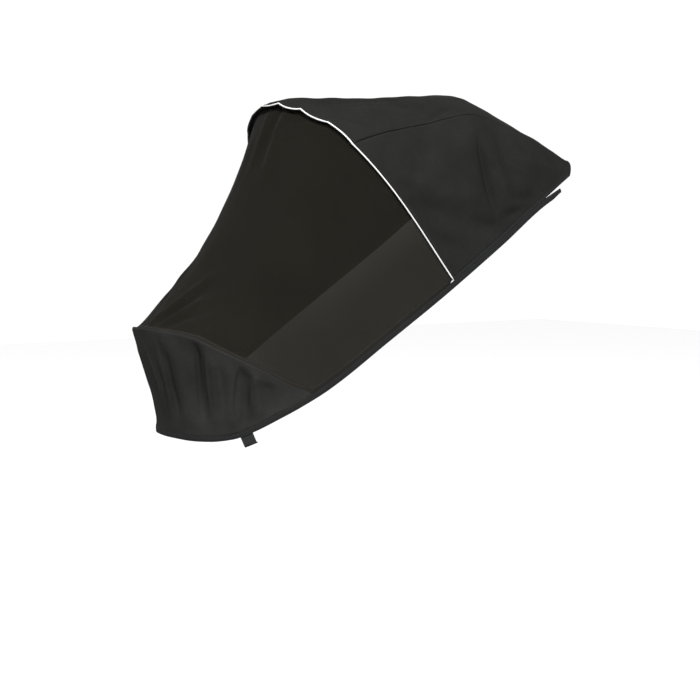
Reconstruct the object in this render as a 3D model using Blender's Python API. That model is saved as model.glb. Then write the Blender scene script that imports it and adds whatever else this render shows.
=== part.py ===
# A fitted mosquito net for a pushchair, hung in the shape that the frame and the hood hoops
# give it. Metres, +X to the right, -Y towards the feet, +Z up. The origin is on the
# underside of the crown, where the middle hoop carries the cover.

import bpy
import numpy as np

# Cloth and trim sizes.
CLOTH_THICK = 0.0016
NET_THICK = 0.0012
SEAM_GAP = 0.0004
BAND_GAP = 0.0009
BINDING_GAP = 0.0007
LAP_GAP = 0.0009
NET_LAP = 0.004
BAND_WIDTH = 0.013
BAND_THICK = 0.003
BAND_END_WIDTH = 0.009
BAND_TAPER = 0.035
BINDING_WIDTH = 0.005
BINDING_THICK = 0.003
BINDING_START = 0.0015
PIPING_RADIUS = 0.002
FACING_THICK = 0.001
FACING_DEPTH = 0.003
FACING_BEHIND = 0.009
FACING_AHEAD = 0.005
NET_DEPTH = 0.0046
NET_TUCK = 0.010
STRAP_WIDTH = 0.025
STRAP_THICK = 0.0015
STRAP_DEPTH = 0.0037
STRAP_TOP = 0.020
STRAP_DROP = 0.015
STRAP_BEND = 0.006
STRAP_RETURN = 0.006
STRAP_AT_Y = -0.592

# Grid steps.
WALL_STEPS = 9
CROWN_STEPS = 22
HOOD_ROWS = 17
NET_ROWS = 15
NET_HEM_STEPS = 9
FOOT_STEPS = 60
FOOT_ROWS = 8
HEM_SIDE_STEPS = 26

# Where the foot panel begins on the bottom edge.
FOOT_START_Y = -0.467

# The bottom edge on the right half, from its free end at the back to the middle of the front.
HEM = [
    # x, y, z
    (0.207, 0.161, -0.213),
    (0.209, 0.109, -0.240),
    (0.211, -0.010, -0.322),
    (0.211, -0.132, -0.403),
    (0.204, -0.300, -0.511),
    (0.194, -0.440, -0.600),
    (0.190, -0.494, -0.626),
    (0.180, -0.541, -0.648),
    (0.160, -0.583, -0.670),
    (0.137, -0.612, -0.683),
    (0.110, -0.642, -0.688),
    (0.075, -0.664, -0.689),
    (0.035, -0.676, -0.688),
    (0.000, -0.679, -0.688),
]

# The seam between foot panel and net on the right half. It starts just above the hem band.
FOOT_TIP = 0.003
FOOT_SEAM = [
    # x, y, z
    (0.191, -0.520, -0.580),
    (0.186, -0.578, -0.549),
    (0.175, -0.633, -0.522),
    (0.157, -0.668, -0.503),
    (0.130, -0.686, -0.490),
    (0.098, -0.702, -0.483),
    (0.055, -0.718, -0.479),
    (0.000, -0.726, -0.477),
]

# One row for each cross-section of the hood, front to back. A section rises from the hem
# to the shoulder seam, then over the crown to its top.
SECTIONS = [
    # foot_y, belly, shoulder_x, shoulder_y, shoulder_z, lean, swell, top_y, top_z
    (-0.144, 0.003, 0.191, -0.375, -0.130, 24, 0.46, -0.446, -0.041),
    (-0.136, 0.003, 0.192, -0.352, -0.121, 24, 0.44, -0.424, -0.032),
    (-0.112, 0.003, 0.190, -0.302, -0.106, 26, 0.32, -0.350, -0.027),
    (-0.071, 0.000, 0.187, -0.193, -0.082, 28, 0.22, -0.200, -0.016),
    (-0.012, 0.000, 0.183, -0.079, -0.058, 30, 0.22, 0.000, 0.0016),
    (0.042, 0.004, 0.185, 0.030, -0.082, 34, 0.22, 0.060, -0.024),
    (0.098, 0.012, 0.188, 0.111, -0.108, 40, 0.22, 0.125, -0.075),
    (None, 0.003, 0.191, 0.187, -0.141, 46, 0.22, 0.192, -0.128),
]
MIDDLE_HOOP = 4

# At the back the hood's lower edge leaves the band and ends higher up at this corner.
REAR_CORNER = (0.197, 0.189, -0.169)

# How broad the crown's flat middle is, as a share of its half width.
CROWN_FLAT = 0.34

# Scallops of the hood's front rim: the rim stays up at these places and droops between.
RIM_PEAKS = (-0.148, -0.088, -0.026, 0.036, 0.093, 0.150)
RIM_DROOP = 0.006

# Soft folds. "at" runs 0 to 1 over the columns of the sheet from right to left and "lean"
# shifts it from its first row to its last. "start" and "end" are the rows, 0 to 1.
# Width and depth are real sizes, and a negative depth is a trough.
FOOT_FOLDS = [
    # at, lean, start, end, width, depth
    (0.150, 0.02, 0.05, 0.80, 0.020, -0.0035),
    (0.215, -0.01, 0.08, 0.95, 0.016, 0.0035),
    (0.255, -0.03, 0.05, 1.00, 0.013, -0.0055),
    (0.292, -0.03, 0.05, 0.90, 0.014, 0.0045),
    (0.345, -0.02, 0.12, 1.00, 0.016, -0.0040),
    (0.405, 0.01, 0.10, 0.95, 0.020, 0.0030),
    (0.470, 0.00, 0.15, 0.90, 0.018, -0.0025),
    (0.560, 0.01, 0.10, 0.90, 0.022, 0.0030),
    (0.640, 0.02, 0.08, 1.00, 0.017, -0.0045),
    (0.700, 0.02, 0.05, 0.95, 0.015, 0.0040),
    (0.752, 0.01, 0.05, 0.90, 0.014, -0.0045),
    (0.840, 0.00, 0.05, 0.85, 0.022, 0.0030),
]
NET_FOLDS = [
    # at, lean, start, end, width, depth
    (0.600, -0.10, 0.10, 0.45, 0.014, 0.0040),
    (0.640, -0.16, 0.10, 0.40, 0.012, -0.0035),
    (0.690, -0.22, 0.10, 0.36, 0.014, 0.0035),
    (0.330, 0.08, 0.10, 0.35, 0.015, 0.0030),
    (0.370, 0.10, 0.10, 0.30, 0.013, -0.0025),
    (0.470, 0.01, 0.70, 1.00, 0.016, -0.0030),
    (0.545, 0.00, 0.62, 1.00, 0.018, 0.0035),
    (0.400, 0.02, 0.66, 1.00, 0.018, 0.0030),
]
HOOD_FOLDS = [
    # at, lean, start, end, width, depth
    (0.400, 0.05, 0.05, 0.52, 0.018, -0.0040),
    (0.455, -0.03, 0.08, 0.50, 0.016, 0.0030),
    (0.530, 0.03, 0.02, 0.48, 0.020, -0.0035),
    (0.620, -0.03, 0.05, 0.50, 0.018, -0.0030),
    (0.130, 0.05, 0.55, 0.95, 0.020, -0.0030),
    (0.870, -0.05, 0.55, 0.95, 0.022, -0.0030),
]

# Creases of the hood's sides run along a section, where the cloth lies on a hoop.
HOOP_RISE = 0.005
HOOP_WIDTH = 0.030

# How far each sheet draws in between its edges. The net's front draws in most, and its share
# of the width runs from 0 at the side edges to 1 in the middle.
NET_SAG_FRONT = 0.036
NET_SAG_SIDE = 0.010
NET_FRONT = (0.45, 0.85)
FOOT_SAG = 0.007

Z_AXIS = np.array([0.0, 0.0, 1.0])


def unit(vectors):
    return vectors / np.linalg.norm(vectors, axis=-1, keepdims=True)


def lengths_along(points):
    return np.append(0.0, np.cumsum(np.linalg.norm(np.diff(points, axis=0), axis=1)))


def at_lengths(points, wanted):
    """Points of a polyline at the given lengths along it."""
    along = lengths_along(points)
    return np.stack([np.interp(wanted, along, points[:, k]) for k in range(3)], axis=1)


def evenly(points, steps):
    return at_lengths(points, np.linspace(0.0, lengths_along(points)[-1], steps + 1))


def smooth(points, spread=30):
    """A smooth curve through the points, by cubic pieces."""
    points = np.array(points, float)
    along = lengths_along(points)
    steps = np.diff(along)[:, None]
    rates = np.diff(points, axis=0) / steps
    # A slope that stays between its neighbours' rates, and level at a turning point.
    before, after = rates[:-1], rates[1:]
    w, x = 2 * steps[1:] + steps[:-1], steps[1:] + 2 * steps[:-1]
    same = before * after > 0
    mean = (w + x) / (w / np.where(same, before, 1.0) + x / np.where(same, after, 1.0))
    slope = np.concatenate([rates[:1], np.where(same, mean, 0.0), rates[-1:]])
    wanted = np.linspace(0.0, along[-1], spread * len(points))
    k = np.clip(np.searchsorted(along, wanted, side="right") - 1, 0, len(along) - 2)
    span = (along[k + 1] - along[k])[:, None]
    u = (wanted - along[k])[:, None] / span
    return (
        (1 + 2 * u) * (1 - u) ** 2 * points[k]
        + u * (1 - u) ** 2 * span * slope[k]
        + u**2 * (3 - 2 * u) * points[k + 1]
        + u**2 * (u - 1) * span * slope[k + 1]
    )


def both_sides(half):
    """A path from the right, given to the middle, with its mirror image on the left."""
    half = np.array(half, float)
    return np.concatenate([half, half[-2::-1] * (-1.0, 1.0, 1.0)])


def bezier(a, b, c, d, steps):
    u = np.linspace(0.0, 1.0, steps + 1)[:, None]
    return (1 - u) ** 3 * a + 3 * u * (1 - u) ** 2 * b + 3 * u**2 * (1 - u) * c + u**3 * d


def step_up(value, low, high):
    """0 below low, 1 above high, and a soft step between."""
    u = np.clip((value - low) / (high - low), 0.0, 1.0)
    return u * u * (3 - 2 * u)


def normals_of(grid):
    """Outward normals of a grid whose rows go up and back and whose columns go right to left."""
    return unit(np.cross(np.gradient(grid, axis=0), np.gradient(grid, axis=1)))


def with_folds(grid, folds):
    """The grid pushed along its normals by each soft fold."""
    rows, columns = grid.shape[:2]
    v = np.linspace(0.0, 1.0, rows)[:, None]
    u = np.linspace(0.0, 1.0, columns)[None, :]
    across = np.linalg.norm(np.diff(grid, axis=1), axis=2).sum(axis=1)[:, None]
    push = np.zeros((rows, columns))
    for at, lean, start, end, width, depth in folds:
        away = (u - at - lean * v) * across / width
        reach = step_up(v, start - 0.1, start + 0.12) * (1 - step_up(v, end - 0.2, end + 0.02))
        push += depth * reach * np.exp(-(away**2))
    return grid + push[..., None] * normals_of(grid)


def hem_points():
    """The bottom edge, with its own steps on the sides and the foot panel's at the front."""
    curve = smooth(both_sides(HEM))
    along = lengths_along(curve)
    corner = np.interp(-FOOT_START_Y, -curve[: len(curve) // 2, 1], along[: len(curve) // 2])
    side = np.linspace(0.0, corner, HEM_SIDE_STEPS + 1)
    front = np.linspace(corner, along[-1] - corner, FOOT_STEPS + 1)
    return at_lengths(curve, np.concatenate([side[:-1], front, along[-1] - side[-2::-1]]))


# The hem band's path, with the directions out of the cloth and up along it.
hem = hem_points()
hem_along = unit(np.gradient(hem, lengths_along(hem), axis=0))
hem_out = unit(np.cross(Z_AXIS, hem_along))
hem_up = np.cross(hem_along, hem_out)
HALF = HEM_SIDE_STEPS + FOOT_STEPS // 2 + 1


def above_hem(y, height):
    """A point of the right side, this far up the cloth from the bottom edge at y."""
    line = (hem + height * hem_up)[:HALF]
    return np.array([np.interp(-y, -line[:, 1], line[:, k]) for k in range(3)])


def hood_section(foot, belly, shoulder_x, shoulder_y, shoulder_z, lean, swell, top_y, top_z):
    """The right half of one cross-section, from its foot to the middle of the crown."""
    shoulder = np.array([shoulder_x, shoulder_y, shoulder_z])
    top = np.array([0.0, top_y, top_z])
    angle = np.radians(lean)
    rise = np.array([-np.sin(angle), 0.0, np.cos(angle)])
    wall_third = (shoulder - foot)[1:] / 3
    low = foot + (0.0, wall_third[0] + belly, wall_third[1])
    high = shoulder - 0.35 * (shoulder_z - foot[2]) * rise
    high[1] = shoulder_y - wall_third[0] + belly
    wall = evenly(bezier(foot, low, high, shoulder, 60), WALL_STEPS)
    crest = swell * (top_z - shoulder_z)
    near = shoulder + crest / np.cos(angle) * rise
    near[1] += 0.3 * (top_y - shoulder_y)
    far = top + (max(CROWN_FLAT, 0.95 * swell) * shoulder_x, 0.0, 0.0)
    crown = evenly(bezier(shoulder, near, far, top, 60), CROWN_STEPS // 2)
    return np.concatenate([wall, crown[1:]])


def rim_droop(x):
    """How far the front rim hangs below its peaks at x."""
    peaks = np.array(RIM_PEAKS)
    spans = np.clip(np.searchsorted(peaks, x) - 1, 0, len(peaks) - 2)
    u = (x - peaks[spans]) / (peaks[spans + 1] - peaks[spans])
    inside = (x > peaks[0]) & (x < peaks[-1])
    return np.where(inside, RIM_DROOP * 4 * u * (1 - u), 0.0)


def hood_grid():
    height = BAND_WIDTH + BAND_GAP + BINDING_WIDTH + BINDING_GAP
    feet = [above_hem(row[0], height) for row in SECTIONS[:-1]] + [np.array(REAR_CORNER)]
    halves = [hood_section(foot, *row[1:]) for foot, row in zip(feet, SECTIONS)]
    sections = np.array([both_sides(half) for half in halves])
    columns = [evenly(smooth(sections[:, k]), HOOD_ROWS) for k in range(sections.shape[1])]
    grid = with_folds(np.stack(columns, axis=1), HOOD_FOLDS)
    # The middle hoop lifts the side cloth a little along its leg.
    rows = np.arange(HOOD_ROWS + 1)[:, None]
    middle = np.argmin(np.abs(grid[:, WALL_STEPS, 1] - SECTIONS[MIDDLE_HOOP][3]))
    walls = np.abs(np.linspace(-1.0, 1.0, grid.shape[1]))[None, :]
    spacing = np.linalg.norm(grid[1:, WALL_STEPS] - grid[:-1, WALL_STEPS], axis=1).mean()
    rise = HOOP_RISE * np.exp(-(((rows - middle) * spacing / HOOP_WIDTH) ** 2))
    grid = grid + (rise * step_up(walls, 0.45, 0.7) * (1 - step_up(walls, 0.9, 1.0)))[
        ..., None
    ] * normals_of(grid)
    droop = rim_droop(grid[0, :, 0])
    fade = (1 - step_up(np.arange(HOOD_ROWS + 1), 0.0, 4.0))[:, None]
    forward_down = unit(np.array([0.0, -0.45, -0.9]))
    return grid + (fade * droop[None, :])[..., None] * forward_down


def foot_grid():
    band_top = hem + (BAND_WIDTH + BAND_GAP) * hem_up
    bottom = band_top[HEM_SIDE_STEPS : HEM_SIDE_STEPS + FOOT_STEPS + 1]
    tip = bottom[0] + FOOT_TIP * hem_up[HEM_SIDE_STEPS]
    top = evenly(smooth(both_sides([tip, *FOOT_SEAM])), FOOT_STEPS)
    v = np.linspace(0.0, 1.0, FOOT_ROWS + 1)[:, None, None]
    grid = (1 - v) * bottom + v * top
    sag = FOOT_SAG * step_up(np.linalg.norm(top - bottom, axis=1), 0.02, 0.12)[:, None]
    grid = grid - sag * 4 * v * (1 - v) * normals_of(grid)
    return with_folds(grid, FOOT_FOLDS)


def net_grid(hood, foot):
    """From the band and inside the foot panel's seam up to the underside of the hood's rim."""
    back = unit(hood[1] - hood[0])
    rim = hood[0] + NET_TUCK * back - NET_DEPTH * normals_of(hood)[0]
    seam_depth = CLOTH_THICK + LAP_GAP
    from_tip = lengths_along(foot[-1])
    from_tip = np.minimum(from_tip, from_tip[-1] - from_tip)
    lap = NET_LAP * step_up(from_tip, 0.0, 0.06)
    down = unit(foot[-2] - foot[-1])
    seam = foot[-1] + lap[:, None] * down - seam_depth * normals_of(foot)[-1]
    line = (hem + (BAND_WIDTH + BAND_GAP) * hem_up)[:HALF]
    start = above_hem(SECTIONS[0][0] - 0.003, BAND_WIDTH + BAND_GAP)
    side = line[(line[:, 1] < start[1]) & (line[:, 1] > seam[0, 1] + 0.005)]
    side = np.concatenate([[start], side])
    side = at_lengths(side, np.linspace(0.0, lengths_along(side)[-1], NET_HEM_STEPS))
    gone = step_up(lengths_along(side), 0.06, 0.20)
    side[:, 0] -= NET_DEPTH + (seam_depth - NET_DEPTH) * gone
    low = np.concatenate([side, seam, side[::-1] * (-1.0, 1.0, 1.0)])
    share = lengths_along(low) / lengths_along(low)[-1]
    high = at_lengths(rim, share * lengths_along(rim)[-1])
    v = np.linspace(0.0, 1.0, NET_ROWS + 1)[:, None, None]
    grid = (1 - v) * low + v * high
    front = step_up(1 - np.abs(2 * share - 1), *NET_FRONT)
    sag = NET_SAG_SIDE + (NET_SAG_FRONT - NET_SAG_SIDE) * front
    sag = (sag * step_up(np.linalg.norm(high - low, axis=1), 0.02, 0.30))[None, :, None]
    grid = grid - sag * 4 * v * (1 - v) * (1.15 - 0.4 * v) * normals_of(grid)
    return with_folds(grid, NET_FOLDS)


def trimmed(grid, right=0.0, left=0.0):
    """The grid with its first and last columns drawn in along the cloth by these lengths."""
    grid = grid.copy()
    grid[:, 0] += np.reshape(right, (-1, 1)) * unit(grid[:, 1] - grid[:, 0])
    grid[:, -1] += np.reshape(left, (-1, 1)) * unit(grid[:, -2] - grid[:, -1])
    return grid


def seam_room(grid, column):
    """What each side of a lengthwise seam gives up, so that the two inner faces stay apart."""
    below = unit(grid[:, column] - grid[:, column - 1])
    above = unit(grid[:, column + 1] - grid[:, column])
    half_turn = np.arccos(np.clip((below * above).sum(axis=1), -1.0, 1.0)) / 2
    return SEAM_GAP / 2 + 1.15 * CLOTH_THICK * np.tan(half_turn)


def material(name, colour, roughness):
    made = bpy.data.materials.new(name)
    made.use_nodes = True
    shader = made.node_tree.nodes["Principled BSDF"]
    shader.inputs["Base Color"].default_value = (*colour, 1.0)
    shader.inputs["Roughness"].default_value = roughness
    shader.inputs["Metallic"].default_value = 0.0
    made.diffuse_color = (*colour, 1.0)
    return made


def add_object(name, points, faces, look):
    mesh = bpy.data.meshes.new(name)
    mesh.from_pydata([tuple(p) for p in points], [], faces)
    mesh.materials.append(look)
    mesh.shade_smooth()
    made = bpy.data.objects.new(name, mesh)
    bpy.context.scene.collection.objects.link(made)
    return made


def sheet(name, grid, thick, look):
    """A closed sheet of cloth whose outer face is the grid."""
    rows, columns = grid.shape[:2]
    faces = []
    for i in range(rows - 1):
        for j in range(columns - 1):
            a = i * columns + j
            b, c, d = a + 1, a + columns + 1, a + columns
            faces += [(a, d, c), (a, c, b)]
    made = add_object(name, grid.reshape(-1, 3), faces, look)
    wall = made.modifiers.new("cloth", "SOLIDIFY")
    wall.thickness = thick
    wall.offset = -1.0
    return made


def sweep(name, rings, look):
    """A closed strip or tube through rings of equal point counts."""
    first = rings[0]
    turn = np.cross(first[1] - first[0], first[2] - first[1])
    if turn @ (rings[1].mean(axis=0) - first.mean(axis=0)) > 0:
        rings = [ring[::-1] for ring in rings]
    count = len(first)
    faces = [tuple(range(count))]
    for i in range(len(rings) - 1):
        for j in range(count):
            a, b = i * count + j, i * count + (j + 1) % count
            faces.append((a, a + count, b + count, b))
    faces.append(tuple(reversed([(len(rings) - 1) * count + j for j in range(count)])))
    return add_object(name, np.concatenate(rings), faces, look)


def flat_rings(path, across, outward, widths, thick):
    """Rectangles along a path, whose corners are rounded off a little."""
    rings = []
    for p, a, o, width in zip(path, across, outward, widths):
        half, deep, cut = width / 2, thick / 2, thick * 0.3
        corners = [
            (-half, -deep + cut),
            (-half, deep - cut),
            (-half + cut, deep),
            (half - cut, deep),
            (half, deep - cut),
            (half, -deep + cut),
            (half - cut, -deep),
            (-half + cut, -deep),
        ]
        rings.append(np.array([p + s * a + t * o for s, t in corners]))
    return rings


def hem_band(look):
    left = lengths_along(hem)
    room = np.minimum(left, left[-1] - left)
    widths = BAND_END_WIDTH + (BAND_WIDTH - BAND_END_WIDTH) * step_up(room, 0.0, BAND_TAPER)
    # The free ends narrow from below, so that the band's upper edge runs on.
    middle = hem + (BAND_WIDTH - widths / 2)[:, None] * hem_up
    middle = middle - (BAND_THICK / 2 - 0.0007) * hem_out
    sweep("hem_band", flat_rings(middle, hem_up, hem_out, widths, BAND_THICK), look)


def mitred(path, facing):
    """Sideways vectors at each point of a strip's path, longer at a turn to keep its width."""
    along = unit(np.diff(path, axis=0))
    first = unit(np.cross(along[[0, *range(len(along))]], facing))
    second = unit(np.cross(along[[*range(len(along)), -1]], facing))
    away = unit(first + second)
    return away / (away * first).sum(axis=1)[:, None]


def hood_binding(hood, look):
    """Along the hood's lower edges and its back edge, in one run from rim to rim."""
    outward = normals_of(hood)
    path = np.concatenate([hood[:-1, 0], hood[-1, :-1], hood[::-1, -1]])
    path[0] += BINDING_START * unit(path[1] - path[0])
    path[-1] += BINDING_START * unit(path[-2] - path[-1])
    facing = np.concatenate([outward[:-1, 1], outward[-2, :-1], outward[::-1, -2]])
    away = mitred(path, facing)
    facing = unit(np.cross(away, np.gradient(path, axis=0)))
    middle = path + (BINDING_GAP + BINDING_WIDTH / 2) * away
    middle = middle - (BINDING_THICK / 2 - 0.0006) * facing
    widths = np.full(len(path), BINDING_WIDTH)
    sweep("hood_binding", flat_rings(middle, away, facing, widths, BINDING_THICK), look)


def rim_run(hood, clear):
    """The rim above the band, with its directions ahead of the cloth and out of it."""
    ahead = unit(hood[0] - hood[1])
    outward = normals_of(hood)[0]
    rim = hood[0].copy()
    drop = BINDING_WIDTH + SEAM_GAP - clear
    down = unit(hood[0, 0] - hood[0, 1])
    rim[0] += drop * down
    rim[-1] += drop * down * (-1.0, 1.0, 1.0)
    return rim, ahead, outward


def piping(hood, look):
    rim, ahead, outward = rim_run(hood, SEAM_GAP)
    middle = rim + (PIPING_RADIUS + SEAM_GAP) * ahead - 0.0006 * outward
    rings = []
    for p, a, o in zip(middle, ahead, outward):
        turns = [2 * np.pi * k / 6 for k in range(6)]
        rings.append(np.array([p + PIPING_RADIUS * (np.cos(t) * a + np.sin(t) * o) for t in turns]))
    sweep("rim_piping", rings[::-1], look)


def rim_facing(hood, look):
    rim, ahead, outward = rim_run(hood, SEAM_GAP)
    width = FACING_BEHIND + FACING_AHEAD
    middle = rim + (FACING_AHEAD - width / 2) * ahead
    middle = middle - (FACING_DEPTH + FACING_THICK / 2) * outward
    rings = flat_rings(middle, ahead, outward, [width] * len(rim), FACING_THICK)
    sweep("rim_facing", rings[::-1], look)


def strap(name, side, look):
    """A webbing tab from inside the hem, straight down and then in under the tube it holds to."""
    k = np.argmin(np.abs(hem[:HALF, 1] - STRAP_AT_Y))
    mirror = np.array([side, 1.0, 1.0])
    outward, up = hem_out[k] * mirror, hem_up[k] * mirror
    across = np.cross(up, outward)
    depth = STRAP_DEPTH + STRAP_THICK / 2
    route = [(-depth, STRAP_TOP), (-depth, -STRAP_DROP)]
    for turn in np.linspace(0.0, np.pi / 2, 6)[1:]:
        inward = STRAP_BEND * (1 - np.cos(turn))
        route.append((-depth - inward, -STRAP_DROP - STRAP_BEND * np.sin(turn)))
    route.append((route[-1][0] - STRAP_RETURN, route[-1][1]))
    flat = np.array(route)
    path = hem[k] * mirror + flat[:, :1] * outward + flat[:, 1:] * up
    facing = unit(np.cross(unit(np.gradient(path, axis=0)), across))
    half, deep = STRAP_WIDTH / 2 * across, STRAP_THICK / 2
    rings = []
    for p, f in zip(path, facing):
        inner, outer = p - deep * f, p + deep * f
        rings.append(np.array([inner - half, inner + half, outer + half, outer - half]))
    sweep(name, rings, look)


for old in list(bpy.data.objects):
    bpy.data.objects.remove(old, do_unlink=True)

hood = hood_grid()
foot = foot_grid()
net = net_grid(hood, foot)

hood_cloth = material("hood_cloth", (0.026, 0.027, 0.025), 0.85)
net_cloth = material("net_cloth", (0.016, 0.015, 0.012), 0.9)
foot_cloth = material("foot_cloth", (0.026, 0.027, 0.026), 0.85)
elastic = material("elastic", (0.012, 0.012, 0.012), 0.8)
reflective = material("reflective_cord", (0.85, 0.85, 0.85), 0.4)
webbing = material("webbing", (0.009, 0.009, 0.009), 0.8)

crown_end = WALL_STEPS + CROWN_STEPS
right_room = seam_room(hood, WALL_STEPS)
left_room = seam_room(hood, crown_end)
side_right = trimmed(hood[:, : WALL_STEPS + 1], left=right_room)
crown = trimmed(hood[:, WALL_STEPS : crown_end + 1], right=right_room, left=left_room)
side_left = trimmed(hood[:, crown_end:], right=left_room)
sheet("hood_side_right", side_right, CLOTH_THICK, hood_cloth)
sheet("hood_crown", crown, CLOTH_THICK, hood_cloth)
sheet("hood_side_left", side_left, CLOTH_THICK, hood_cloth)
sheet("net_panel", net, NET_THICK, net_cloth)
sheet("foot_panel", foot, CLOTH_THICK, foot_cloth)
hem_band(elastic)
hood_binding(hood, elastic)
piping(hood, reflective)
rim_facing(hood, elastic)
strap("strap_right", 1.0, webbing)
strap("strap_left", -1.0, webbing)
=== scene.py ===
# The looks of a fitted mosquito net: a fine net front, an opaque hood and foot panel, an
# elastic hem and a reflective rim. Metres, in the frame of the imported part.

import math

import bpy
import numpy as np
from mathutils import Matrix, Vector


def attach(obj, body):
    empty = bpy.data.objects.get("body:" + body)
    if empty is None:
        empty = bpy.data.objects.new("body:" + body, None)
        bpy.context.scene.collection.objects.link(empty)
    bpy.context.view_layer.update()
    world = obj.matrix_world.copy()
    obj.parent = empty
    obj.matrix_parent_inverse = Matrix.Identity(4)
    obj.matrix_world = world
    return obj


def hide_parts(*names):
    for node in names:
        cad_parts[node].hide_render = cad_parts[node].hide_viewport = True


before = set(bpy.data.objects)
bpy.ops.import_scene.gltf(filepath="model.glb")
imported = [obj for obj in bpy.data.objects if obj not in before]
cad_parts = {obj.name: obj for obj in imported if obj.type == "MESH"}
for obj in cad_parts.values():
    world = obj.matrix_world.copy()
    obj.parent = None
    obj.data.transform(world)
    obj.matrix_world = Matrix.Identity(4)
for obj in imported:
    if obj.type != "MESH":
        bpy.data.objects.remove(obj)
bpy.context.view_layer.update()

zAxis = np.array([0.0, 0.0, 1.0])
mirrored = np.array([-1.0, 1.0, 1.0])
leadRows = 4  # rows over which the way of a cloth's edge is measured
edgeIn = 3  # rows from an edge where the cloth's outward side is read


# Small tools for points and paths.

def unit(vectors):
    return vectors / np.maximum(np.linalg.norm(vectors, axis=-1, keepdims=True), 1e-12)


def lengthsAlong(points):
    return np.append(0.0, np.cumsum(np.linalg.norm(np.diff(points, axis=0), axis=1)))


def atLengths(points, wanted):
    along = lengthsAlong(points)
    return np.stack([np.interp(wanted, along, points[:, k]) for k in range(3)], axis=1)


def evenly(points, steps):
    return atLengths(points, np.linspace(0.0, lengthsAlong(points)[-1], steps + 1))


def stepUp(value, low, high):
    u = np.clip((value - low) / (high - low), 0.0, 1.0)
    return u * u * (3 - 2 * u)


def bothSides(half):
    half = np.array(half, float)
    return np.concatenate([half, half[-2::-1] * mirrored])


# A smooth curve through the points that never swings past them.
def smooth(points, spread=30):
    points = np.array(points, float)
    along = lengthsAlong(points)
    steps = np.diff(along)[:, None]
    rates = np.diff(points, axis=0) / steps
    before, after = rates[:-1], rates[1:]
    w, x = 2 * steps[1:] + steps[:-1], steps[1:] + 2 * steps[:-1]
    same = before * after > 0
    mean = (w + x) / (w / np.where(same, before, 1.0) + x / np.where(same, after, 1.0))
    slope = np.concatenate([rates[:1], np.where(same, mean, 0.0), rates[-1:]])
    wanted = np.linspace(0.0, along[-1], spread * len(points))
    k = np.clip(np.searchsorted(along, wanted, side="right") - 1, 0, len(along) - 2)
    span = (along[k + 1] - along[k])[:, None]
    u = (wanted - along[k])[:, None] / span
    return (
        (1 + 2 * u) * (1 - u) ** 2 * points[k]
        + u * (1 - u) ** 2 * span * slope[k]
        + u**2 * (3 - 2 * u) * points[k + 1]
        + u**2 * (u - 1) * span * slope[k + 1]
    )


def bezier(a, b, c, d, steps):
    u = np.linspace(0.0, 1.0, steps + 1)[:, None]
    return (1 - u) ** 3 * a + 3 * u * (1 - u) ** 2 * b + 3 * u**2 * (1 - u) * c + u**3 * d


# Rows of a cloth grid go up and back, its columns go from the right side to the left.
def outwardOf(grid):
    return unit(np.cross(np.gradient(grid, axis=0), np.gradient(grid, axis=1)))


def gridAt(grid, u, v):
    rows, columns = grid.shape[:2]
    x, y = np.clip(u, 0, 1) * (columns - 1), np.clip(v, 0, 1) * (rows - 1)
    j = np.clip(x.astype(int), 0, columns - 2)
    i = np.clip(y.astype(int), 0, rows - 2)
    s, t = (x - j)[:, None], (y - i)[:, None]
    low = (1 - s) * grid[i, j] + s * grid[i, j + 1]
    high = (1 - s) * grid[i + 1, j] + s * grid[i + 1, j + 1]
    return (1 - t) * low + t * high


# Lengths along a grid's rows, and up its columns, each from 0 at the first border.
def lengthsOver(grid):
    steps = np.linalg.norm(np.diff(grid, axis=1), axis=2)
    return np.concatenate([np.zeros((len(grid), 1)), np.cumsum(steps, axis=1)], axis=1)


def lengthsUp(grid):
    steps = np.linalg.norm(np.diff(grid, axis=0), axis=2)
    return np.concatenate([np.zeros((1, grid.shape[1])), np.cumsum(steps, axis=0)])


foldEnds = {"startEarly": 0.1, "startFull": 0.12, "endFrom": 0.2, "endPast": 0.02}


# Broad soft folds that run from the first row towards the last.
def withFolds(grid, folds, scale=1.0):
    rows, columns = grid.shape[:2]
    v = np.linspace(0.0, 1.0, rows)[:, None]
    u = np.linspace(0.0, 1.0, columns)[None, :]
    across = lengthsOver(grid)[:, -1:]
    push = np.zeros((rows, columns))
    for at, lean, start, end, widthMm, depthMm in folds:
        away = (u - at - lean * v) * across / (widthMm / 1000)
        reach = stepUp(v, start - foldEnds["startEarly"], start + foldEnds["startFull"])
        reach = reach * (1 - stepUp(v, end - foldEnds["endFrom"], end + foldEnds["endPast"]))
        push += scale * depthMm / 1000 * reach * np.exp(-(away**2))
    return grid + push[..., None] * outwardOf(grid)


creaseLine = {"points": 25, "reach": 3}


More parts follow.
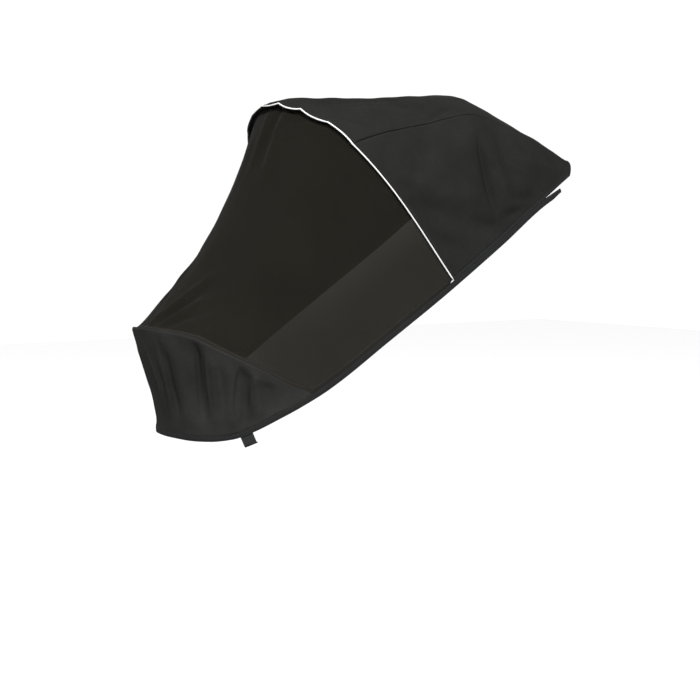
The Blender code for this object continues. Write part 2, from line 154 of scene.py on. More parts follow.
# Narrow creases, each along a bent line through three places of the cloth.
def withCreases(grid, creases, scale=1.0):
    flat = grid.reshape(-1, 3)
    push = np.zeros(len(flat))
    t = np.linspace(0.0, 1.0, creaseLine["points"])
    for u0, v0, u1, v1, u2, v2, widthMm, depthMm in creases:
        width = widthMm / 1000
        a, b, c = (1 - t) * (1 - 2 * t), 4 * t * (1 - t), t * (2 * t - 1)
        line = gridAt(grid, a * u0 + b * u1 + c * u2, a * v0 + b * v1 + c * v2)
        reach = creaseLine["reach"] * width
        inside = (flat > line.min(axis=0) - reach) & (flat < line.max(axis=0) + reach)
        near = np.where(inside.all(axis=1))[0]
        if not len(near):
            continue
        best, place = np.full(len(near), 1e9), np.zeros(len(near))
        for k in range(len(line) - 1):
            span = line[k + 1] - line[k]
            s = np.clip(((flat[near] - line[k]) @ span) / max(span @ span, 1e-12), 0.0, 1.0)
            away = np.linalg.norm(flat[near] - line[k] - s[:, None] * span, axis=1)
            closer = away < best
            best[closer], place[closer] = away[closer], (t[k] + s * (t[k + 1] - t[k]))[closer]
        taper = np.clip(1 - (2 * place - 1) ** 2, 0.0, 1.0)
        push[near] += scale * depthMm / 1000 * taper * np.exp(-((best / width) ** 2))
    return grid + push.reshape(grid.shape[:2])[..., None] * outwardOf(grid)


rippleWaves = {"count": 14, "shortest": 0.7, "longest": 1.9}


# The small unevenness of cloth under light tension, from a few seeded waves.
def withRipple(grid, amount, wave, seed):
    rng = np.random.default_rng(seed)
    count = rippleWaves["count"]
    ways = unit(rng.normal(size=(count, 3)))
    lengths = wave * rng.uniform(rippleWaves["shortest"], rippleWaves["longest"], count)
    turns = ways * (2 * math.pi / lengths)[:, None]
    phase = rng.uniform(0, 2 * math.pi, count)
    push = amount * np.sin(grid @ turns.T + phase).sum(axis=2) / math.sqrt(count)
    return grid + push[..., None] * outwardOf(grid)


# 0 on the borders of a grid and 1 from this far in.
def awayFromBorders(grid, reach, sides=True):
    up, over = lengthsUp(grid), lengthsOver(grid)
    keep = stepUp(up, 0.0, reach) * stepUp(up[-1:] - up, 0.0, reach)
    if sides:
        keep = keep * stepUp(over, 0.0, reach) * stepUp(over[:, -1:] - over, 0.0, reach)
    return keep


# The shapes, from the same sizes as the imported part.

hemSizes = {
    "bandWidth": 0.013, "bandThick": 0.003, "bandGap": 0.0009, "tuckedIn": 0.0022,
    "endWidth": 0.009, "endTaper": 0.035,
    "sideSteps": 130, "footStartY": -0.467,
}
hemLine = [
    # x, y, z on the right half, from the free end at the back to the middle of the front
    (0.207, 0.161, -0.213),
    (0.209, 0.109, -0.24),
    (0.211, -0.01, -0.322),
    (0.211, -0.132, -0.403),
    (0.204, -0.3, -0.511),
    (0.194, -0.44, -0.6),
    (0.19, -0.494, -0.626),
    (0.18, -0.541, -0.648),
    (0.16, -0.583, -0.67),
    (0.137, -0.612, -0.683),
    (0.11, -0.642, -0.688),
    (0.075, -0.664, -0.689),
    (0.035, -0.676, -0.688),
    (0.0, -0.679, -0.688),
]
footSizes = {
    "steps": 320, "rows": 100, "thick": 0.0013, "tip": 0.003, "tall": (0.02, 0.12),
    "sag": 0.007, "full": 0.0008, "fullFrom": (0.55, 0.9), "roll": 0.0022, "rollFrom": (0.965, 1.0),
    "folds": 1.35, "creases": 1.3,
    "ripple": 0.0005, "rippleWave": 0.060, "rippleSeed": 23, "plainBorder": 0.010,
}


def hemPoints():
    curve = smooth(bothSides(hemLine))
    along = lengthsAlong(curve)
    half = len(curve) // 2
    corner = np.interp(-hemSizes["footStartY"], -curve[:half, 1], along[:half])
    side = np.linspace(0.0, corner, hemSizes["sideSteps"] + 1)
    front = np.linspace(corner, along[-1] - corner, footSizes["steps"] + 1)
    return atLengths(curve, np.concatenate([side[:-1], front, along[-1] - side[-2::-1]]))


hem = hemPoints()
hemRun = unit(np.gradient(hem, lengthsAlong(hem), axis=0))
hemOut = unit(np.cross(zAxis, hemRun))
hemUp = np.cross(hemRun, hemOut)
hemHalf = hemSizes["sideSteps"] + footSizes["steps"] // 2 + 1


def aboveHem(y, height):
    line = (hem + height * hemUp)[:hemHalf]
    return np.array([np.interp(-y, -line[:, 1], line[:, k]) for k in range(3)])


hoodSizes = {
    "wallSteps": 90, "crownSteps": 220, "rows": 170, "thick": 0.0013,
    "wallPoints": 120, "crownPoints": 160, "topSection": 4,
    "bindingWidth": 0.005, "bindingGap": 0.0007, "bindingThick": 0.003,
    "bindingStart": 0.0015, "bindingLap": 0.0006,
    "wallLean": 0.35, "crownLead": 0.3, "crownFlat": 0.34, "swellShare": 0.95,
    "rimDroop": 0.006, "rimFade": 4 / 17, "rimDroopTo": (0.0, -0.45, -0.9),
    "hoopRise": 0.005, "hoopWidth": 0.030, "hoopFrom": (0.45, 0.7), "hoopTo": (0.9, 1.0),
    "seamPuff": 0.0006, "seamPuffAt": 0.006, "seamPuffWidth": 0.005,
    "seamGroove": 0.0022, "seamGrooveWidth": 0.0022,
    "creases": 1.15, "ripple": 0.0009, "rippleWave": 0.075, "rippleSeed": 11, "plainBorder": 0.012,
    "rearCorner": (0.197, 0.189, -0.169),
}
rimPeaks = (-0.148, -0.088, -0.026, 0.036, 0.093, 0.150)
hoodSections = [
    # foot y, belly, shoulder x, y, z, lean, swell, top y, z
    (-0.144, 0.003, 0.191, -0.375, -0.13, 24, 0.46, -0.446, -0.041),
    (-0.136, 0.003, 0.192, -0.352, -0.121, 24, 0.44, -0.424, -0.032),
    (-0.112, 0.003, 0.19, -0.302, -0.106, 26, 0.32, -0.35, -0.027),
    (-0.071, 0.0, 0.187, -0.193, -0.082, 28, 0.22, -0.2, -0.016),
    (-0.012, 0.0, 0.183, -0.079, -0.058, 30, 0.22, 0.0, 0.0016),
    (0.042, 0.004, 0.185, 0.03, -0.082, 34, 0.22, 0.06, -0.024),
    (0.098, 0.012, 0.188, 0.111, -0.108, 40, 0.22, 0.125, -0.075),
    (None, 0.003, 0.191, 0.187, -0.141, 46, 0.22, 0.192, -0.128),
]
hoodFolds = [
    # at, lean, start, end, width and depth in mm
    (0.4, 0.05, 0.05, 0.52, 18, -4),
    (0.455, -0.03, 0.08, 0.5, 16, 3),
    (0.53, 0.03, 0.02, 0.48, 20, -3.5),
    (0.62, -0.03, 0.05, 0.5, 18, -3),
    (0.13, 0.05, 0.55, 0.95, 20, -3),
    (0.87, -0.05, 0.55, 0.95, 22, -3),
]
hoodCreases = [
    # three places u, v along the crease, then width and depth in mm: first those of the right side
    (0.195, 0.52, 0.119, 0.457, 0.02, 0.42, 9, -8.8),
    (0.2, 0.455, 0.13, 0.4, 0.05, 0.36, 17, 5),
    (0.19, 0.57, 0.13, 0.535, 0.05, 0.51, 15, 4),
    (0.18, 0.515, 0.155, 0.54, 0.13, 0.53, 6, -1.8),
    (0.14, 0.48, 0.112, 0.512, 0.085, 0.512, 6, -1.8),
    (0.175, 0.72, 0.158, 0.77, 0.145, 0.85, 9, -2.2),
    (0.115, 0.59, 0.1, 0.64, 0.092, 0.72, 9, -2.4),
    (0.125, 0.02, 0.088, 0.13, 0.045, 0.27, 22, -10),
    (0.08, 0.01, 0.045, 0.08, 0.012, 0.14, 18, -7),
    (0.135, 0.16, 0.105, 0.26, 0.075, 0.37, 20, 5),
    (0.062, 0.26, 0.03, 0.34, 0.008, 0.45, 16, -8),
    (0.03, 0.43, 0.018, 0.52, 0.008, 0.62, 14, -6),
    (0.185, 0.04, 0.15, 0.09, 0.125, 0.16, 14, 3.6),
    (0.062, 0.54, 0.04, 0.62, 0.022, 0.72, 12, -3.6),
    (0.19, 0.86, 0.15, 0.9, 0.105, 0.94, 12, -3.6),
    # the crown
    (0.32, 0.19, 0.286, 0.29, 0.245, 0.36, 8, -7),
    (0.352, 0.18, 0.315, 0.29, 0.285, 0.37, 8, 4),
    (0.236, 0.335, 0.268, 0.42, 0.305, 0.52, 7, -5.6),
    (0.395, 0.33, 0.365, 0.385, 0.325, 0.44, 7, 4.8),
    (0.328, 0.04, 0.3, 0.085, 0.262, 0.11, 7, -5.2),
    (0.35, 0.11, 0.34, 0.18, 0.32, 0.26, 9, 3.6),
    (0.42, 0.08, 0.43, 0.17, 0.425, 0.28, 8, -4.2),
    (0.47, 0.2, 0.455, 0.3, 0.45, 0.4, 8, -4.2),
    (0.56, 0.1, 0.545, 0.2, 0.56, 0.33, 9, -4.4),
    (0.64, 0.12, 0.655, 0.24, 0.64, 0.37, 9, -4.6),
    (0.7, 0.3, 0.715, 0.4, 0.7, 0.51, 8, -4.6),
    (0.3, 0.62, 0.34, 0.65, 0.4, 0.655, 9, -3.4),
    (0.42, 0.78, 0.5, 0.76, 0.59, 0.785, 10, -3.4),
    (0.65, 0.66, 0.7, 0.64, 0.74, 0.6, 9, -3.4),
    # the left side
    (0.815, 0.52, 0.881, 0.457, 0.965, 0.43, 8, -6.6),
    (0.8, 0.46, 0.87, 0.405, 0.945, 0.365, 13, 3.6),
    (0.835, 0.735, 0.842, 0.775, 0.852, 0.84, 6, -3.4),
    (0.89, 0.59, 0.9, 0.64, 0.908, 0.7, 6, -3.2),
    (0.895, 0.07, 0.918, 0.15, 0.952, 0.26, 13, -6.6),
    (0.93, 0.28, 0.962, 0.34, 0.988, 0.42, 11, -5),
    (0.868, 0.15, 0.882, 0.24, 0.9, 0.33, 13, 3.6),
]


def hoodSection(foot, belly, shoulderX, shoulderY, shoulderZ, lean, swell, topY, topZ):
    s = hoodSizes
    shoulder = np.array([shoulderX, shoulderY, shoulderZ])
    top = np.array([0.0, topY, topZ])
    angle = math.radians(lean)
    rise = np.array([-math.sin(angle), 0.0, math.cos(angle)])
    wallThird = (shoulder - foot)[1:] / 3
    low = foot + (0.0, wallThird[0] + belly, wallThird[1])
    high = shoulder - s["wallLean"] * (shoulderZ - foot[2]) * rise
    high[1] = shoulderY - wallThird[0] + belly
    wall = evenly(bezier(foot, low, high, shoulder, s["wallPoints"]), s["wallSteps"])
    crest = swell * (topZ - shoulderZ)
    near = shoulder + crest / math.cos(angle) * rise
    near[1] += s["crownLead"] * (topY - shoulderY)
    flat = max(s["crownFlat"], s["swellShare"] * swell)
    far = top + (flat * shoulderX, 0.0, 0.0)
    crown = evenly(bezier(shoulder, near, far, top, s["crownPoints"]), s["crownSteps"] // 2)
    return np.concatenate([wall, crown[1:]])


def rimDroopAt(x):
    peaks = np.array(rimPeaks)
    spans = np.clip(np.searchsorted(peaks, x) - 1, 0, len(peaks) - 2)
    u = (x - peaks[spans]) / (peaks[spans + 1] - peaks[spans])
    inside = (x > peaks[0]) & (x < peaks[-1])
    return np.where(inside, hoodSizes["rimDroop"] * 4 * u * (1 - u), 0.0)


def hoodGrid():
    s = hoodSizes
    height = hemSizes["bandWidth"] + hemSizes["bandGap"] + s["bindingWidth"] + s["bindingGap"]
    feet = [aboveHem(row[0], height) for row in hoodSections[:-1]] + [np.array(s["rearCorner"])]
    halves = [hoodSection(foot, *row[1:]) for foot, row in zip(feet, hoodSections)]
    sections = np.array([bothSides(half) for half in halves])
    columns = [evenly(smooth(sections[:, k]), s["rows"]) for k in range(sections.shape[1])]
    grid = withFolds(np.stack(columns, axis=1), hoodFolds)
    wall = s["wallSteps"]
    v = np.linspace(0.0, 1.0, s["rows"] + 1)[:, None]
    along = lengthsAlong(grid[:, wall])[:, None]
    middle = along[np.argmin(np.abs(grid[:, wall, 1] - hoodSections[s["topSection"]][3]))]
    walls = np.abs(np.linspace(-1.0, 1.0, grid.shape[1]))[None, :]
    rise = s["hoopRise"] * np.exp(-(((along - middle) / s["hoopWidth"]) ** 2))
    rise = rise * stepUp(walls, *s["hoopFrom"]) * (1 - stepUp(walls, *s["hoopTo"]))
    grid = grid + rise[..., None] * outwardOf(grid)
    fade = 1 - stepUp(v, 0.0, s["rimFade"])
    droop = fade * rimDroopAt(grid[0, :, 0])[None, :]
    return grid + droop[..., None] * unit(np.array(s["rimDroopTo"]))


# The shoulder seams lie in a narrow groove between two slightly puffed edges.
def withSeams(grid):
    s = hoodSizes
    over = lengthsOver(grid)
    push = np.zeros(grid.shape[:2])
    for column in (s["wallSteps"], s["wallSteps"] + s["crownSteps"]):
        away = np.abs(over - over[:, column : column + 1])
        puff = s["seamPuff"] * np.exp(-(((away - s["seamPuffAt"]) / s["seamPuffWidth"]) ** 2))
        push += puff - s["seamGroove"] * np.exp(-((away / s["seamGrooveWidth"]) ** 2))
    return grid + push[..., None] * outwardOf(grid)


# A panel with its creases and ripple, which fade out towards its sewn borders.
def creasedPanel(grid, creases, s, sides=True, seams=False):
    creased = withCreases(grid, creases, s["creases"])
    creased = withRipple(creased, s["ripple"], s["rippleWave"], s["rippleSeed"])
    if seams:
        creased = withSeams(creased)
    return grid + awayFromBorders(grid, s["plainBorder"], sides)[..., None] * (creased - grid)


footSeam = [
    # x, y, z of the seam between foot panel and net on the right half
    (0.191, -0.52, -0.58),
    (0.186, -0.578, -0.549),
    (0.175, -0.633, -0.522),
    (0.157, -0.668, -0.503),
    (0.13, -0.686, -0.49),
    (0.098, -0.702, -0.483),
    (0.055, -0.718, -0.479),
    (0.0, -0.726, -0.477),
]
footFolds = [
    # at, lean, start, end, width and depth in mm
    (0.125, 0.02, 0.05, 0.8, 16, -3),
    (0.165, 0.0, 0.08, 0.95, 14, 3.5),
    (0.212, -0.02, 0.05, 0.92, 13, -6),
    (0.255, -0.02, 0.05, 0.95, 15, 4.5),
    (0.3, -0.02, 0.1, 0.95, 10, 4),
    (0.345, -0.02, 0.12, 1.0, 12, -6.5),
    (0.395, 0.0, 0.1, 0.95, 18, 3.5),
    (0.435, 0.0, 0.15, 0.9, 14, -3),
    (0.56, 0.01, 0.1, 0.9, 22, 3),
    (0.64, 0.02, 0.08, 1.0, 17, -4.5),
    (0.7, 0.02, 0.05, 0.95, 15, 4),
    (0.752, 0.01, 0.05, 0.9, 14, -4.5),
    (0.84, 0.0, 0.05, 0.85, 22, 3),
]
footCreases = [
    # three places u, v along the crease, then width and depth in mm
    (0.512, 0.15, 0.502, 0.5, 0.522, 0.9, 3.4, 2.6),
    (0.49, 0.12, 0.48, 0.45, 0.488, 0.85, 3.4, -2),
    (0.468, 0.12, 0.46, 0.55, 0.452, 0.92, 3.4, 2.8),
    (0.43, 0.15, 0.436, 0.5, 0.42, 0.8, 5, -2.6),
    (0.352, 0.2, 0.34, 0.6, 0.326, 0.95, 4.5, -4.2),
    (0.318, 0.2, 0.305, 0.6, 0.292, 0.92, 4, 3.2),
    (0.285, 0.15, 0.275, 0.5, 0.27, 0.85, 4, 2.6),
    (0.24, 0.12, 0.225, 0.5, 0.205, 0.9, 4.5, -3.4),
    (0.19, 0.25, 0.18, 0.55, 0.16, 0.85, 4.5, 2.2),
    (0.56, 0.3, 0.57, 0.6, 0.56, 0.88, 5, -2.2),
    (0.62, 0.2, 0.612, 0.55, 0.63, 0.85, 4.5, 2),
    (0.69, 0.2, 0.684, 0.52, 0.7, 0.88, 5.5, -2.6),
    (0.77, 0.25, 0.782, 0.56, 0.8, 0.85, 4.5, 1.8),
]


def footGrid():
    s = footSizes
    side, steps = hemSizes["sideSteps"], s["steps"]
    bandTop = hem + (hemSizes["bandWidth"] - hemSizes["tuckedIn"]) * hemUp
    bottom = bandTop[side : side + steps + 1]
    tip = bottom[0] + (s["tip"] + hemSizes["tuckedIn"] + hemSizes["bandGap"]) * hemUp[side]
    top = evenly(smooth(bothSides([tip, *footSeam])), steps)
    v = np.linspace(0.0, 1.0, s["rows"] + 1)[:, None, None]
    grid = (1 - v) * bottom + v * top
    tall = stepUp(np.linalg.norm(top - bottom, axis=1), *s["tall"])[:, None]
    # The panel draws in most at a third of its height (27/4 makes that 1), stays full below
    # its seam and rolls in at the seam itself.
    draw = 27 / 4 * v * (1 - v) ** 2 * s["sag"] - s["full"] * stepUp(v, *s["fullFrom"])
    roll = s["roll"] * stepUp(v, *s["rollFrom"]) ** 2
    return withFolds(grid - ((draw + roll) * tall) * outwardOf(grid), footFolds, s["folds"])


netSizes = {
    "rows": 104, "hemPoints": 48, "thick": 0.0005,
    "depth": 0.0046, "tuck": 0.010, "lap": 0.005, "lapDepth": 0.0025,
    "sideStart": 0.003, "sideEnd": 0.005, "sinksFrom": (0.06, 0.20),
    "sagFront": 0.036, "sagSide": 0.010, "front": (0.45, 0.85),
    "sagTall": (0.02, 0.30), "sagLow": 1.15, "sagLessHigh": 0.4,
    "creases": 1.0, "ripple": 0.0006, "rippleWave": 0.090, "rippleSeed": 31, "plainBorder": 0.020,
}
netFolds = [
    # at, lean, start, end, width and depth in mm
    (0.6, -0.1, 0.1, 0.45, 14, 4),
    (0.64, -0.16, 0.1, 0.4, 12, -3.5),
    (0.69, -0.22, 0.1, 0.36, 14, 3.5),
    (0.33, 0.08, 0.1, 0.35, 15, 3),
    (0.37, 0.1, 0.1, 0.3, 13, -2.5),
    (0.47, 0.01, 0.7, 1.0, 16, -3),
    (0.545, 0.0, 0.62, 1.0, 18, 3.5),
    (0.4, 0.02, 0.66, 1.0, 18, 3),
]
netCreases = [
    # three places u, v along the crease, then width and depth in mm
    (0.515, 0.01, 0.465, 0.16, 0.4, 0.35, 10, 6.6),
    (0.495, 0.01, 0.45, 0.14, 0.4, 0.27, 9, -6.2),
    (0.478, 0.01, 0.435, 0.11, 0.385, 0.21, 8.5, 6),
    (0.46, 0.01, 0.42, 0.08, 0.37, 0.15, 8, -5),
    (0.5, 0.99, 0.497, 0.9, 0.488, 0.74, 12, 5),
    (0.416, 0.99, 0.436, 0.88, 0.402, 0.64, 12, 5.8),
    (0.455, 0.99, 0.462, 0.88, 0.45, 0.72, 12, -5.6),
    (0.37, 0.99, 0.385, 0.86, 0.375, 0.68, 12, -3.4),
    (0.59, 0.99, 0.575, 0.88, 0.58, 0.72, 12, 3),
    (0.48, 0.01, 0.53, 0.16, 0.6, 0.35, 12, 1.6),
    (0.505, 0.01, 0.55, 0.14, 0.6, 0.27, 11, -1.6),
]


def netGrid(hood, foot):
    s = netSizes
    back = unit(hood[leadRows] - hood[0])
    outward = outwardOf(hood)[0]
    rim = hood[0] + s["tuck"] * back - s["depth"] * outward
    down = unit(foot[-1 - leadRows] - foot[-1])
    seam = foot[-1] + s["lap"] * down - s["lapDepth"] * outwardOf(foot)[-1]
    above = hemSizes["bandWidth"] - hemSizes["tuckedIn"]
    line = (hem + above * hemUp)[:hemHalf]
    start = aboveHem(hoodSections[0][0] - s["sideStart"], above)
    side = line[(line[:, 1] < start[1]) & (line[:, 1] > seam[0, 1] + s["sideEnd"])]
    side = np.concatenate([[start], side])
    side = atLengths(side, np.linspace(0.0, lengthsAlong(side)[-1], s["hemPoints"]))
    gone = stepUp(lengthsAlong(side), *s["sinksFrom"])
    side[:, 0] -= s["depth"] + (s["lapDepth"] - s["depth"]) * gone
    low = np.concatenate([side, seam, side[::-1] * mirrored])
    share = lengthsAlong(low) / lengthsAlong(low)[-1]
    high = atLengths(rim, share * lengthsAlong(rim)[-1])
    v = np.linspace(0.0, 1.0, s["rows"] + 1)[:, None, None]
    grid = (1 - v) * low + v * high
    front = stepUp(1 - np.abs(2 * share - 1), *s["front"])
    sag = s["sagSide"] + (s["sagFront"] - s["sagSide"]) * front
    sag = (sag * stepUp(np.linalg.norm(high - low, axis=1), *s["sagTall"]))[None, :, None]
    hang = 4 * v * (1 - v) * (s["sagLow"] - s["sagLessHigh"] * v)
    return withFolds(grid - sag * hang * outwardOf(grid), netFolds)


# Materials.

def link(made):
    bpy.context.scene.collection.objects.link(made)


def fromHex(code):
    channels = [int(code[k : k + 2], 16) / 255 for k in (1, 3, 5)]
    linear = [c / 12.92 if c <= 0.04045 else ((c + 0.055) / 1.055) ** 2.4 for c in channels]
    return (*linear, 1.0)


def addNode(tree, kind, settings=None, **inputs):
    node = tree.nodes.new(kind)
    for key, value in (settings or {}).items():
        setattr(node, key, value)
    for key, value in inputs.items():
        name = key.replace("_", " ")
        counted = key.startswith("in") and key[2:].isdigit()
        socket = node.inputs[int(key[2:])] if counted else node.inputs[name]
        if isinstance(value, bpy.types.NodeSocket):
            tree.links.new(value, socket)
        else:
            socket.default_value = value
    return node


def startMaterial(name, look):
    made = bpy.data.materials.new(name)
    made.use_nodes = True
    tree = made.node_tree
    shader = tree.nodes["Principled BSDF"]
    shader.inputs["Roughness"].default_value = look["roughness"]
    shader.inputs["Specular IOR Level"].default_value = look["specular"]
    shader.inputs["Sheen Weight"].default_value = look.get("sheen", 0.0)
    shader.inputs["Sheen Roughness"].default_value = look.get("sheenRoughness", 0.5)
    return made, tree, shader


# Small tools for the materials' node trees.

def maths(tree, operation, *values, clamped=False):
    inputs = {f"in{k}": value for k, value in enumerate(values)}
    settings = {"operation": operation, "use_clamp": clamped}
    return addNode(tree, "ShaderNodeMath", settings, **inputs).outputs[0]


def times(tree, first, second):
    return maths(tree, "MULTIPLY", first, second)


def brightened(tree, colour, factor):
    return addNode(tree, "ShaderNodeVectorMath", {"operation": "SCALE"}, in0=colour, Scale=factor).outputs[0]


def spanned(tree, value, span, low=0.0, high=1.0):
    level = addNode(
        tree, "ShaderNodeMapRange", Value=value,
        From_Min=span[0], From_Max=span[1], To_Min=low, To_Max=high,
    )
    return level.outputs[0]


def aroundOne(tree, value, span, share):
    return spanned(tree, value, span, 1 - share, 1 + share)


def noiseOf(tree, scale, detail, roughness=0.5):
    where = addNode(tree, "ShaderNodeTexCoord").outputs["Object"]
    noise = addNode(
        tree, "ShaderNodeTexNoise", Vector=where, Scale=scale, Detail=detail, Roughness=roughness
    )
    return noise.outputs["Fac"]


def blended(tree, factor, low, high):
    tint = addNode(tree, "ShaderNodeMix", {"data_type": "RGBA"}, Factor=factor)
    tint.inputs[6].default_value, tint.inputs[7].default_value = fromHex(low), fromHex(high)
    return tint.outputs[2]


def addBump(tree, shader, height, look):
    bump = addNode(
        tree, "ShaderNodeBump", Strength=look["bump"], Distance=look["bumpDeep"], Height=height
    )
    tree.links.new(bump.outputs[0], shader.inputs["Normal"])


def paint(tree, shader, colour):
    tree.links.new(colour, shader.inputs["Base Color"])


waveSpan, noiseSpan = (-1.0, 1.0), (0.3, 0.7)  # what the waves and the noise run between


def clothPlace(tree):
    return addNode(tree, "ShaderNodeUVMap", {"uv_map": "cloth"}).outputs[0]


# Where a thread crosses: two crossed waves of the given pitch along the piece's own map, in metres.
def threadWaves(tree, pitch, slant=0.0):
    place = clothPlace(tree)
    turned = addNode(tree, "ShaderNodeMapping", Vector=place, Rotation=(0.0, 0.0, slant))
    split = addNode(tree, "ShaderNodeSeparateXYZ", Vector=turned.outputs[0])
    waves = []
    for axis in (0, 1):
        turns = times(tree, split.outputs[axis], 2 * math.pi / pitch)
        waves.append(maths(tree, "SINE", turns))
    return waves


clothLooks = {
    "hood": {"base": "#111110", "worn": "#131412", "dark": "#0f0f0e"},
    # The foot panel is the same cloth as the hood, made lighter here: painted light for a panel that faces a
    # little down.
    "foot": {"base": "#161615", "worn": "#191a18", "dark": "#131312"},
}
weaveLook = {
    "weaveMm": 1.4, "roughness": 0.86, "specular": 0.02,
    "cloudScale": 9.0, "darkAt": 0.32, "wornAt": 0.68,
    "fleckScale": 320.0, "grain": 0.12, "fleck": 0.14, "bump": 0.35, "bumpDeep": 0.0004,
}


# Plain-woven polyester with a matt coating: even and dull, in broad random patches a little lighter and
# darker.
# The real threads are 0.3 mm apart, so the weave is drawn at 1.4 mm to show at all.
def wovenPolyester(name, tones):
    look = weaveLook
    made, tree, shader = startMaterial(name, look)
    warp, weft = threadWaves(tree, look["weaveMm"] / 1000)
    broad = noiseOf(tree, look["cloudScale"], 4.0, 0.6)
    fine = noiseOf(tree, look["fleckScale"], 3.0, 0.7)
    colour = addNode(tree, "ShaderNodeValToRGB", Fac=broad)
    dark, worn = colour.color_ramp.elements
    dark.position, dark.color = look["darkAt"], fromHex(tones["dark"])
    worn.position, worn.color = look["wornAt"], fromHex(tones["worn"])
    colour.color_ramp.elements.new(0.5).color = fromHex(tones["base"])
    grain = aroundOne(tree, times(tree, warp, weft), waveSpan, look["grain"])
    fleck = aroundOne(tree, fine, noiseSpan, look["fleck"])
    both = times(tree, grain, fleck)
    paint(tree, shader, brightened(tree, colour.outputs["Color"], both))
    addBump(tree, shader, both, look)
    return made


netLook = {
    "thread": "#0e0d0a", "doubled": "#12110f",
    "roughness": 0.9, "specular": 0.0, "sheen": 0.01, "sheenRoughness": 0.6,
    "pitchMm": 1.8, "cover": 0.902, "shadeDensity": 0.065, "variation": 0.035,
    "cloudScale": 7.0, "cloud": 0.1, "bump": 0.14, "bumpDeep": 0.0003,
    "doubledHeight": 0.013, "doubledMore": 0.10,
    "shadeClearAbove": (0.10, 0.26), "shadeClearAhead": (0.52, 0.66),
}


# Knitted polyester net with holes of about 1 mm: mostly thread, with a fine even see-through.
# Its pitch of 1.8 mm lets the holes show close up and still average out further off.
def knittedNet():
    look = netLook
    made, tree, shader = startMaterial("knitted_polyester_net", look)
    over, along = threadWaves(tree, look["pitchMm"] / 1000, math.radians(45))
    product = times(tree, over, along)
    cover = spanned(
        tree, product, waveSpan, look["cover"] - look["variation"], look["cover"] + look["variation"]
    )
    # Low beside the side hems the net is left denser, so darker, than over the front and higher up: painted
    # shade in place of the shaded seat inside, which is left out.
    shadeCleared = addNode(tree, "ShaderNodeAttribute", {"attribute_name": "shadeCleared"}).outputs["Fac"]
    shadeDensity = maths(tree, "MULTIPLY_ADD", shadeCleared, -look["shadeDensity"], cover)
    height = addNode(tree, "ShaderNodeSeparateXYZ", Vector=clothPlace(tree)).outputs[1]
    strip = maths(tree, "LESS_THAN", height, look["doubledHeight"])
    thicker = maths(tree, "MULTIPLY_ADD", strip, look["doubledMore"], shadeDensity, clamped=True)
    tint = blended(tree, strip, look["thread"], look["doubled"])
    broad = noiseOf(tree, look["cloudScale"], 3.0)
    level = aroundOne(tree, broad, noiseSpan, look["cloud"])
    paint(tree, shader, brightened(tree, tint, level))
    tree.links.new(thicker, shader.inputs["Alpha"])
    addBump(tree, shader, product, look)
    return made


bandLooks = {
    "elastic": {"base": "#0e0e0e", "rib": "#121212", "ribMm": 2.0, "roughness": 0.8},
    "tape": {"base": "#0d0e0e", "rib": "#131414", "ribMm": 2.0, "roughness": 0.8},
    "webbing": {"base": "#101010", "rib": "#181919", "ribMm": 2.2, "roughness": 0.7},
}
ribLook = {"specular": 0.05, "fuzzScale": 420.0, "fleck": 0.18, "bump": 0.5, "bumpDeep": 0.0005}


# Woven narrow goods: ribs that run across the strip. Real ribs are 0.8 mm apart and are drawn at 2 mm.
def ribbedWeave(name, look):
    made, tree, shader = startMaterial(name, {**ribLook, **look})
    along = threadWaves(tree, look["ribMm"] / 1000)[0]
    level = spanned(tree, along, waveSpan)
    tint = blended(tree, level, look["base"], look["rib"])
    fuzz = noiseOf(tree, ribLook["fuzzScale"], 2.0)
    fleck = aroundOne(tree, fuzz, noiseSpan, ribLook["fleck"])
    paint(tree, shader, brightened(tree, tint, fleck))
    addBump(tree, shader, level, ribLook)
    return made


cordLook = {
    "base": "#9c9c9a", "shade": "#848583", "braidMm": 2.5, "braidSlant": 40,
    "roughness": 0.35, "specular": 0.6, "bump": 0.25, "bumpDeep": 0.0003,
}


# Cord with a glass-bead reflective cover: bright and almost white, with a faint braid.
def reflectiveCord():
    look = cordLook
    made, tree, shader = startMaterial("reflective_cord", look)
    slant = math.radians(look["braidSlant"])
    along, around = threadWaves(tree, look["braidMm"] / 1000, slant)
    level = spanned(tree, times(tree, along, around), waveSpan)
    paint(tree, shader, blended(tree, level, look["shade"], look["base"]))
    addBump(tree, shader, level, look)
    return made


threadLook = {"roughness": 0.6, "specular": 0.1, "twistScale": 900.0, "dark": 0.8, "light": 1.15}


# Spun polyester sewing thread, a little shinier than the cloth round it.
def sewingThread(name, code):
    look = threadLook
    made, tree, shader = startMaterial(name, look)
    twist = noiseOf(tree, look["twistScale"], 1.0)
    level = spanned(tree, twist, noiseSpan, look["dark"], look["light"])
    paint(tree, shader, brightened(tree, fromHex(code)[:3], level))
    return made


materials = {
    "hood": wovenPolyester("woven_polyester_hood", clothLooks["hood"]),
    "foot": wovenPolyester("woven_polyester_foot", clothLooks["foot"]),
    "net": knittedNet(),
    "elastic": ribbedWeave("woven_elastic", bandLooks["elastic"]),
    "tape": ribbedWeave("grosgrain_tape", bandLooks["tape"]),
    "webbing": ribbedWeave("polypropylene_webbing", bandLooks["webbing"]),
    "cord": reflectiveCord(),
    "thread": sewingThread("sewing_thread_grey", "#191a19"),
    "netThread": sewingThread("sewing_thread_light", "#232321"),
}
print("materials made")


# Turning grids and rings into pieces.

def addPiece(name, points, faces, coords, material):
    mesh = bpy.data.meshes.new(name)
    mesh.from_pydata([tuple(p) for p in points], [], faces)
    layer = mesh.uv_layers.new(name="cloth")
    loops = np.empty(len(mesh.loops), int)
    mesh.loops.foreach_get("vertex_index", loops)
    layer.data.foreach_set("uv", np.asarray(coords, float)[loops].reshape(-1))
    mesh.materials.append(material)
    mesh.shade_smooth()
    made = bpy.data.objects.new(name, mesh)
    link(made)
    return made


